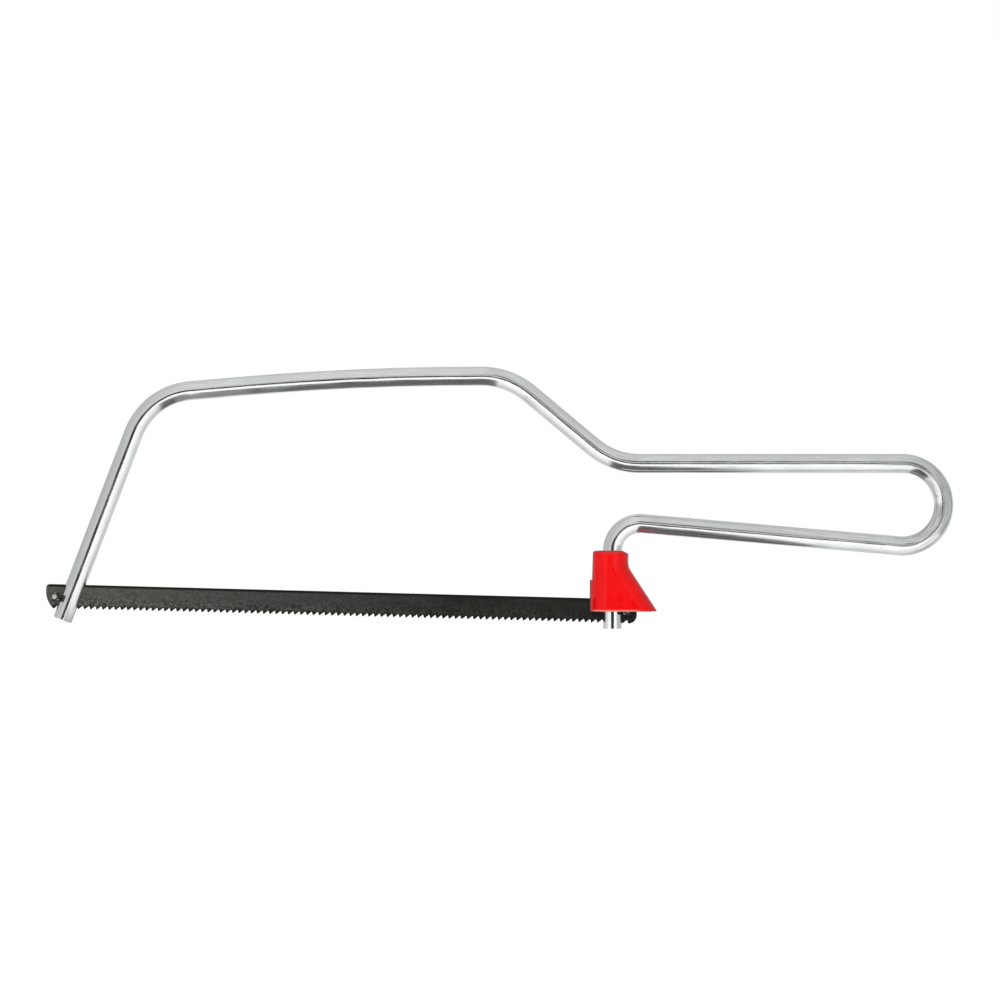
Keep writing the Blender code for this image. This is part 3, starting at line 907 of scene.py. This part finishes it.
# The paler front tone is a painted sheen.
front_tone_with_sheen = mix_colours(tree, scratches, (0.050, 0.050, 0.046, 1), (0.066, 0.066, 0.060, 1))
rear_tone = mix_colours(tree, scratches, (0.004, 0.004, 0.0035, 1), (0.010, 0.010, 0.009, 1))
sheen_graded = mix_colours(tree, sheen_fades_to_rear, front_tone_with_sheen, rear_tone)
plain = mix_colours(tree, calculate(tree, "MULTIPLY", drift, 0.2), sheen_graded, (0.050, 0.049, 0.044, 1))
mottle = remap(tree, speckle, 0.2, 0.8, 0.40, 1.60)
mottle_share = remap(tree, near_teeth, 0, 1, 0.35, 1)
mottled = mix_values(tree, mottle_share, 1.0, mottle)
milled = add_node(tree, "ShaderNodeHueSaturation", {"Color": plain, "Value": mottled}).outputs["Color"]
edged = mix_colours(tree, dark_edge, milled, (0.003, 0.003, 0.003, 1))
trace_of_steel = calculate(tree, "MULTIPLY", bare, 0.35)
tree.links.new(mix_colours(tree, trace_of_steel, edged, (0.22, 0.21, 0.19, 1)), shader.inputs["Base Color"])
shader.inputs["Specular IOR Level"].default_value = 0.18
tree.links.new(remap(tree, speckle, 0, 1, 0.32, 0.46), shader.inputs["Roughness"])
fine = bump(tree, scratches, 0.15, 0.00002)
tree.links.new(bump(tree, coarse, 0.5, 0.00005, fine), shader.inputs["Normal"])
dress(blade, blackened, "blade", "blade_black", "saw_blade")

# %% [markdown]
# ## Steel of the pins
# The pins are turned steel, dulled and darkened with the blade. Turning leaves rings round the pin, so
# the grain is packed closely along the pin's length. Only the middle of the front pin's ends is rubbed
# bright. It is found by its normal, which points along the pin. The rear pin, under the sleeve, is
# darker with painted shade, so a mask along the saw tells the two apart.

# %% Pin steel
PIN_SURROUND = 0.01

pin_steel, tree, shader = new_material("turned_steel")
where = object_place(tree)
rings = use_group(tree, grain, Vector=stretch(tree, where, (300, 9000, 300)), Scale=1.0)
facing = add_node(tree, "ShaderNodeNewGeometry").outputs["Normal"]
along_pin = calculate(tree, "ABSOLUTE", axes_of(tree, facing)["Y"])
end_face = remap(tree, along_pin, 0.93, 0.99, 0, 1)
rubbed_until = front_pin_place.x + PIN_SURROUND
painted_shade_from = rear_pin_place.x - PIN_SURROUND
# The mask falls from the front pin to the rear pin. The front pin's ends are rubbed bright, and the rear
# pin's darker steel and dim ends are painted shade under the sleeve.
rubbed = remap(tree, axes_of(tree, where)["X"], rubbed_until, painted_shade_from, 1, 0.15)
bright_end = calculate(tree, "MULTIPLY", end_face, rubbed)
ringed = mix_colours(tree, rings, (0.07, 0.07, 0.065, 1), (0.13, 0.13, 0.12, 1))
# The dark steel at the rear pin is painted shade.
steel = mix_colours(tree, rubbed, (0.022, 0.022, 0.020, 1), ringed)
tree.links.new(mix_colours(tree, bright_end, steel, (0.80, 0.80, 0.78, 1)), shader.inputs["Base Color"])
shader.inputs["Metallic"].default_value = 1.0
tree.links.new(remap(tree, rings, 0, 1, 0.30, 0.45), shader.inputs["Roughness"])
tree.links.new(bump(tree, rings, 0.2, 0.00002), shader.inputs["Normal"])
dress(front_pin, pin_steel, "blade", "pin_steel", "front_blade_pin")
dress(rear_pin, pin_steel, "blade", "pin_steel", "rear_blade_pin")

# %% [markdown]
# ## Red plastic
# The sleeve is coloured all through and comes glossy from the mould. Its colour drifts very slightly,
# its surface has the soft unevenness of cooled plastic, and handling has dulled it in patches. Along the
# edges the plastic is pale, where it is thin and has been rubbed. The foot over the blade is pale with a
# painted highlight. The top rim, the lip and the foot of the flare are darker with painted shade.

# %% Sleeve red
PAINTED_FOOT_BAND = 0.0006
RIM_SHADE = 0.0007
OVER_BLADE_TO = 0.0062
OVER_BLADE_FADE = 0.001
SLANT_REACH = 0.002
LIP_FADE = 0.0003

red, tree, shader = new_material("moulded_red")
where = object_place(tree)
flow = use_group(tree, smudges, Vector=where, Scale=140.0)
dulled = use_group(tree, smudges, Vector=where, Scale=420.0)
skin = use_group(tree, grain, Vector=where, Scale=1500.0)
rubbed = use_group(tree, wear, Vector=where, Radius=0.0003, Breakup=500.0)
on_sleeve = axes_of(tree, where)
over_blade_to = rear_foot.x + OVER_BLADE_TO
over_blade = remap(tree, on_sleeve["X"], over_blade_to, over_blade_to + OVER_BLADE_FADE, 1, 0)
slant_start = sleeve_middle + TOP_SLANT_START
slanted = remap(tree, on_sleeve["X"], slant_start, slant_start + SLANT_REACH, 0, SLANT_REACH * TOP_SLANT)
level = calculate(tree, "ADD", on_sleeve["Z"], slanted)
# Painted shade: the top rim is darker, following the slant of the top.
painted_rim_shade = remap(tree, level, sleeve_high.z - RIM_SHADE, sleeve_high.z + TOP_CROWN / 2, 0, 0.7)
# A band along the foot that carries a painted highlight over the blade and painted shade elsewhere.
painted_foot_band = remap(tree, on_sleeve["Z"], sleeve_low.z + PAINTED_FOOT_BAND, sleeve_low.z + PAINTED_FOOT_BAND / 3, 0, 0.5)
painted_foot_highlight = calculate(tree, "MULTIPLY", painted_foot_band, over_blade)
painted_foot_shade = calculate(tree, "SUBTRACT", painted_foot_band, painted_foot_highlight)
painted_lip_shade = remap(tree, on_sleeve["X"], lip_edge, lip_edge - LIP_FADE, 0, 1)
# Painted shade on the top rim, the lip and the foot of the flare.
painted_shade = calculate(tree, "MAXIMUM", calculate(tree, "MAXIMUM", painted_rim_shade, painted_foot_shade), painted_lip_shade)
drifting = mix_colours(tree, flow, (0.72, 0.0015, 0.003, 1), (0.78, 0.003, 0.004, 1))
# Rubbed edges are pale from wear, and the pale foot over the blade is a painted highlight.
rubbed_and_highlit = calculate(tree, "MAXIMUM", calculate(tree, "MULTIPLY", rubbed, 0.25), painted_foot_highlight)
rubbed_and_highlit_red = mix_colours(tree, rubbed_and_highlit, drifting, (0.92, 0.42, 0.38, 1))
tree.links.new(mix_colours(tree, painted_shade, rubbed_and_highlit_red, (0.28, 0.050, 0.045, 1)), shader.inputs["Base Color"])
tree.links.new(remap(tree, dulled, 0, 1, 0.12, 0.22), shader.inputs["Roughness"])
shader.inputs["IOR"].default_value = 1.3
soft = bump(tree, flow, 0.1, 0.0003)
tree.links.new(bump(tree, skin, 0.06, 0.00004, soft), shader.inputs["Normal"])
dress(sleeve, red, "sleeve", "sleeve_red", "locking_sleeve")

# %% [markdown]
# ## The studio
# A saw on white needs little light: the world's own soft white, a broad lamp in front, a little to the
# left, and a weaker one behind. A lamp's picture in the chrome would be a hard spot, so reflections don't
# see the lamps. The floor lies below the reach of the hanging blade. It is white enough to vanish into the
# background and still takes a shadow.

# %% World, floor and lamps
WORLD_LIGHT = 0.32
FLOOR_BELOW = 0.21
FLOOR_SIZE = 12
FLOOR_LIFT = 0.75
LAMP_SIZE = 0.7
LAMP_HEIGHT = 0.3
LAMP_DISTANCE = 1.1
FRONT_LAMP_WATTS = 11
FRONT_LAMP_TO_LEFT = 0.12
BACK_LAMP_WATTS = 6
BACK_LAMP_TO_RIGHT = 0.05

world = bpy.data.worlds.new("white_studio")
bpy.context.scene.world = world
world.use_nodes = True
tree = world.node_tree
rays = add_node(tree, "ShaderNodeLightPath").outputs
seen_or_mirrored = calculate(tree, "MAXIMUM", rays["Is Camera Ray"], rays["Is Glossy Ray"])
seen = calculate(tree, "MAXIMUM", seen_or_mirrored, rays["Is Transmission Ray"])
tree.nodes["Background"].inputs["Color"].default_value = (1, 1, 1, 1)
tree.links.new(remap(tree, seen, 0, 1, WORLD_LIGHT, 1), tree.nodes["Background"].inputs["Strength"])

bpy.ops.object.select_all(action="DESELECT")
bpy.ops.mesh.primitive_plane_add(size=FLOOR_SIZE, location=(aim_x, 0, -FLOOR_BELOW))
floor = new_piece("floor")
paper, tree, shader = new_material("white_paper")
shader.inputs["Base Color"].default_value = (0.9, 0.9, 0.9, 1)
shader.inputs["Roughness"].default_value = 1.0
shader.inputs["Emission Color"].default_value = (1, 1, 1, 1)
rays = add_node(tree, "ShaderNodeLightPath").outputs
lift = remap(tree, rays["Is Camera Ray"], 0, 1, 0, FLOOR_LIFT)
tree.links.new(lift, shader.inputs["Emission Strength"])
floor.data.materials.append(paper)
floor.visible_glossy = False

for watts, aside, y in (
    (FRONT_LAMP_WATTS, -FRONT_LAMP_TO_LEFT, -LAMP_DISTANCE),
    (BACK_LAMP_WATTS, BACK_LAMP_TO_RIGHT, LAMP_DISTANCE),
):
    bpy.ops.object.light_add(type="AREA", location=(aim_x + aside, y, LAMP_HEIGHT))
    lamp = bpy.context.object
    lamp.data.shape = "SQUARE"
    lamp.data.size = LAMP_SIZE
    lamp.data.energy = watts
    lamp.rotation_euler = (Vector((aim_x, 0, 0)) - lamp.location).to_track_quat("-Z", "Y").to_euler()
    lamp.visible_glossy = False
print("floor at", -FLOOR_BELOW, "m")

# %% [markdown]
# Chrome looks like what stands round it, so the rest of the studio is there to be reflected and shades
# nothing. A light tent surrounds the saw, grey above a soft rim and white below it. The world could be
# graded in its place, but it also lights the saw. A sphere that only reflections see is graded freely.

# %% Tent
TENT_RADIUS = 3.0
TENT_ACROSS = [(-1.0, 0.60), (-0.35, 0.71), (-0.1, 0.78), (0.0, 0.80), (0.1, 0.70), (0.4, 0.72), (1.0, 0.56)]
RIM_TILT = 0.08
RIM_HEIGHT = 0.03
RIM_SOFTNESS = 0.03
BACK_SHARE = 0.75
WHITE_IN_FRONT = 1.3
WHITE_BEHIND = 0.74


def reflected_only(card, brightness):
    """Let a card glow with a plain or varied brightness, seen in reflections and nowhere else."""
    material, tree, shader = new_material(card.name)
    tree.nodes.remove(shader)
    if callable(brightness):
        brightness = brightness(tree)
    else:
        brightness = (brightness, brightness, brightness, 1)
    glow = add_node(tree, "ShaderNodeEmission", {"Color": brightness})
    tree.links.new(glow.outputs["Emission"], tree.nodes["Material Output"].inputs["Surface"])
    card.data.materials.append(material)
    card.visible_camera = False
    card.visible_diffuse = False
    card.visible_transmission = False
    card.visible_shadow = False


def tent_brightness(tree):
    """Grey above a tilted soft rim, and below it white that dims toward the back."""
    place = object_place(tree)
    share = add_node(
        tree,
        "ShaderNodeMapping",
        {"Vector": place, "Location": (-aim_x / TENT_RADIUS, 0, 0), "Scale": [1 / TENT_RADIUS] * 3},
    )
    in_tent = axes_of(tree, share.outputs["Vector"])
    ramp = add_node(tree, "ShaderNodeValToRGB", {"Fac": remap(tree, in_tent["X"], -1, 1, 0, 1)})
    stops = ramp.color_ramp.elements
    while len(stops) < len(TENT_ACROSS):
        stops.new(0.5)
    for stop, (x, grey) in zip(stops, TENT_ACROSS):
        stop.position = (x + 1) / 2
        stop.color = (grey, grey, grey, 1)
    behind = remap(tree, in_tent["Y"], 0, 1, 1, BACK_SHARE)
    upper = calculate(tree, "MULTIPLY", ramp.outputs["Color"], behind)
    lower = remap(tree, in_tent["Y"], -0.9, 0.2, WHITE_IN_FRONT, WHITE_BEHIND)
    tilted = calculate(tree, "MULTIPLY_ADD", in_tent["X"], -RIM_TILT, in_tent["Z"])
    above = remap(tree, tilted, RIM_HEIGHT - RIM_SOFTNESS, RIM_HEIGHT + RIM_SOFTNESS, 0, 1)
    return mix_values(tree, above, lower, upper)


bpy.ops.object.select_all(action="DESELECT")
bpy.ops.mesh.primitive_uv_sphere_add(segments=64, ring_count=32, radius=TENT_RADIUS, location=(aim_x, 0, 0))
reflected_only(new_piece("light_tent"), tent_brightness)
print("tent:", TENT_RADIUS, "m in radius")

# %% [markdown]
# Dark stripes make metal look like metal, and each stripe is the picture of a card. Oval cards stand
# behind the camera: two dark ones for the line along the middle of the rod, and three dim ones above
# them. They are placed and sized by the angles at which the saw sees them, because those decide
# where a stripe falls and how wide it is.

# %% Standing cards
CARD_DISTANCE = 2.5
CARD_SIDES = 48
OVAL_GREY = 0.03
PANEL_GREY = 0.12
# Each row holds a name, then the turn, lift, half width, half height and lean in degrees, and a brightness.
STANDING_CARDS = [
    ("dark_oval", -6, -2, 17, 8, 10, OVAL_GREY),
    ("dark_side", 11, -1.5, 7, 3.5, 0, OVAL_GREY),
    ("dim_stand", -4, 11, 1.6, 6, -10, PANEL_GREY),
    ("dim_panel", 5, 22, 4, 10, 0, PANEL_GREY),
    ("dim_corner", 13.5, 14, 4.5, 9, 0, PANEL_GREY),
]


def stand_card(name, turn, lift, across, upward, lean, brightness):
    """An oval card behind the camera, placed and sized by angles in degrees as the saw sees it."""
    bpy.ops.object.select_all(action="DESELECT")
    bpy.ops.mesh.primitive_circle_add(vertices=CARD_SIDES, radius=CARD_DISTANCE, fill_type="NGON")
    spread = (math.tan(math.radians(across)), math.tan(math.radians(upward)), 1)
    card = new_piece(name, spread)
    toward = Vector((math.tan(math.radians(turn)), -1, math.tan(math.radians(lift))))
    card.location = Vector((aim_x, 0, 0)) + CARD_DISTANCE * toward
    card.rotation_euler = (math.pi / 2, math.radians(lean), 0)
    settle(card)
    reflected_only(card, brightness)


for row in STANDING_CARDS:
    stand_card(*row)
print("standing cards:", ", ".join(row[0] for row in STANDING_CARDS))

# %% [markdown]
# Three small cards close to the saw each tone one stretch of the rod. One stands beyond the end of the
# handle, one in front of that end, and one lies below the front of the top bar. Being so near, each of
# them shows in its own stretch and hardly anywhere else.

# %% Near cards
# Each row holds a name, a place, a turn, two sizes and a brightness.
NEAR_CARDS = [
    ("side_card", (0.10, -0.04, 0.0), (0, math.pi / 2, 0), (0.10, 0.18), 0.58),
    ("end_card", (0.046, -0.05, -0.003), QUARTER_TURN, (0.026, 0.018), 0.46),
    ("front_card", (-0.148, -0.03, -0.055), (0, 0, 0), (0.020, 0.17), 0.31),
]


def near_card(name, place, turn, size, brightness):
    """A small flat card close to the saw, which a short stretch of the rod reflects."""
    bpy.ops.object.select_all(action="DESELECT")
    bpy.ops.mesh.primitive_plane_add(size=1, location=place, rotation=turn)
    reflected_only(new_piece(name, (*size, 1)), brightness)


for row in NEAR_CARDS:
    near_card(*row)
print("near cards:", ", ".join(row[0] for row in NEAR_CARDS))

# %% [markdown]
# The broad dark stripe under the rod is the picture of one larger card, which lies below the saw. Its
# left edge ends the stripe at the neck's bends, and its slanted right edge lets the stripe taper away
# along the handle. A disc with as many corners as the outline is pulled into shape, and soft clouds keep
# the stripe from looking flat.

# %% Card under the saw
CARD_BELOW = 0.25
CARD_DARKEST = 0.105
CARD_LIGHTEST = 0.252
CARD_OUTLINE = [
    (-0.14, -0.42),
    (-0.06, -0.42),
    (-0.04, -0.50),
    (-0.018, -0.50),
    (-0.006, -0.28),
    (0.004, -0.10),
    (0.012, 0.06),
    (0.012, 0.25),
    (-0.14, 0.25),
]


def card_brightness(tree):
    """Dark with lighter clouds, as an uneven surface is."""
    clouds = use_group(tree, smudges, Vector=object_place(tree), Scale=22.0)
    return remap(tree, clouds, 0, 1, CARD_DARKEST, CARD_LIGHTEST)


bpy.ops.object.select_all(action="DESELECT")
bpy.ops.mesh.primitive_circle_add(vertices=len(CARD_OUTLINE), radius=1, fill_type="NGON")
under = new_piece("dark_card")
edit(under)
cage = bmesh.from_edit_mesh(under.data)
for vertex, (x, y) in zip(cage.verts, CARD_OUTLINE):
    vertex.co = (x, y, -CARD_BELOW)
bmesh.update_edit_mesh(under.data)
only(under)
reflected_only(under, card_brightness)
print("card under the saw has", len(under.data.vertices), "corners")
